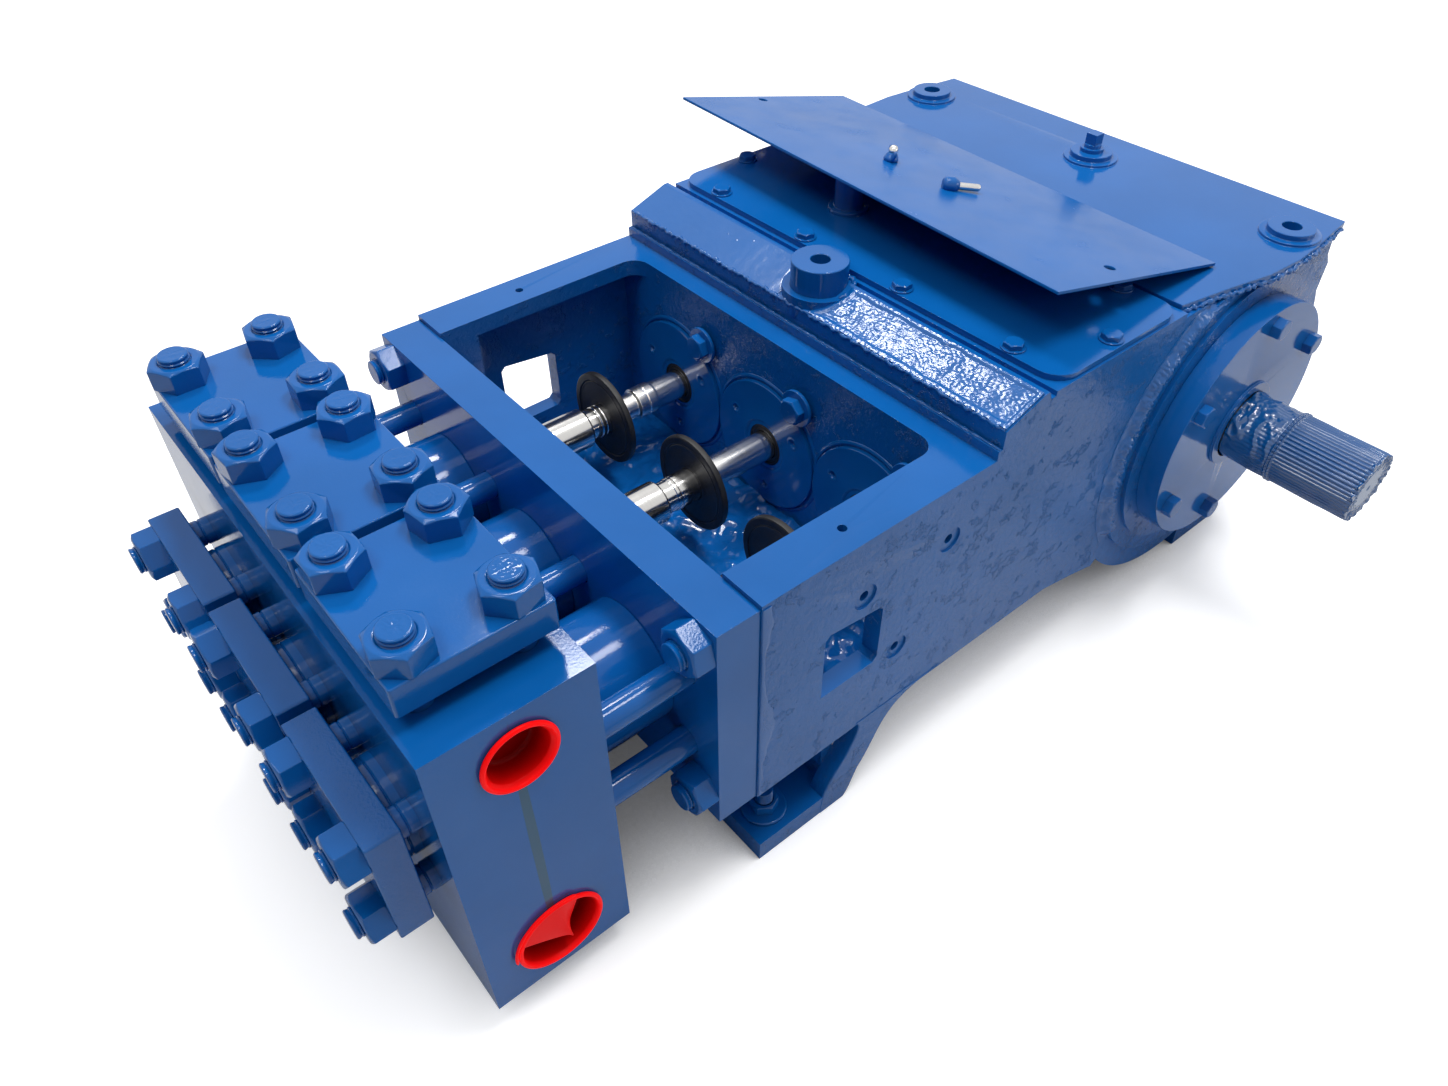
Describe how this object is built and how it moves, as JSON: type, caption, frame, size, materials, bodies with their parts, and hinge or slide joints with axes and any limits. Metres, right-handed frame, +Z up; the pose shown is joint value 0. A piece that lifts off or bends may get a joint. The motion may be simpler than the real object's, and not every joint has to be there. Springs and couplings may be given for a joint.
{
  "type": "triplex plunger pump",
  "caption": "Horizontal triplex plunger pump: fluid block with bolted valve covers, adapter plate, open cradle with plunger rods, and a crankcase with a drive shaft out of one side.",
  "frame": {"origin": "on the floor, at the centre of the rectangle of the four hold-down bolt holes in the feet", "axes": "+X along the pump from the fluid end to the crankcase, +Y across it, away from the side with the drive shaft, +Z up"},
  "size_m": [1.173, 0.781, 0.4655],
  "materials": {
    "paint": "glossy blue enamel over cast and machined iron",
    "bright_steel": "ground and polished",
    "shaft_steel": "machined",
    "black_rubber": "matte moulded",
    "red_plastic": "bright moulded"
  },
  "bodies": {
    "pump": {"power_frame": "paint", "crankcase_deck": "paint", "crosshead_cover": "paint", "crosshead_cover_bolts": "paint", "filler_neck": "paint", "cradle_cover": "paint", "wing_screws": "bright_steel", "deck_plug": "paint", "adapter_plate": "paint", "adapter_studs": "paint", "fluid_block": "paint", "valve_plugs": "paint", "top_cover_1": "paint", "top_cover_2": "paint", "top_cover_3": "paint", "top_studs": "paint", "front_plugs": "paint", "front_cover_1": "paint", "front_cover_2": "paint", "front_cover_3": "paint", "front_studs": "paint", "stuffing_box_1": "paint", "stuffing_box_2": "paint", "stuffing_box_3": "paint", "gland_nuts": "paint", "tie_rods": "paint", "wiper_plates": "paint", "wiper_bolts": "paint", "bearing_cover_near": "paint", "bearing_cover_far": "paint", "bearing_bolts": "paint", "foot_bolts": "paint", "port_caps": "red_plastic", "lifting_boss": "paint"},
    "shaft": {"crankshaft": "shaft_steel", "shaft_sleeve": "paint"},
    "rod_far": {"plunger_1": "bright_steel", "pony_rod_1": "bright_steel", "deflector_disc_1": "black_rubber"},
    "rod_middle": {"plunger_2": "bright_steel", "pony_rod_2": "bright_steel", "deflector_disc_2": "black_rubber"},
    "rod_near": {"plunger_3": "bright_steel", "pony_rod_3": "bright_steel", "deflector_disc_3": "black_rubber"}
  },
  "joints": [
    {"name": "shaft_turn", "type": "hinge", "parent": "pump", "child": "shaft", "pos_m": [0.271, 0, 0.231], "axis": [0, 1, 0], "continuous": true},
    {"name": "far_plunger_slide", "type": "slide", "parent": "pump", "child": "rod_far", "axis": [1, 0, 0], "range_m": [-0.042, 0.034]},
    {"name": "middle_plunger_slide", "type": "slide", "parent": "pump", "child": "rod_middle", "axis": [1, 0, 0], "range_m": [-0.03, 0.046]},
    {"name": "near_plunger_slide", "type": "slide", "parent": "pump", "child": "rod_near", "axis": [1, 0, 0], "range_m": [-0.043, 0.033]}
  ]
}
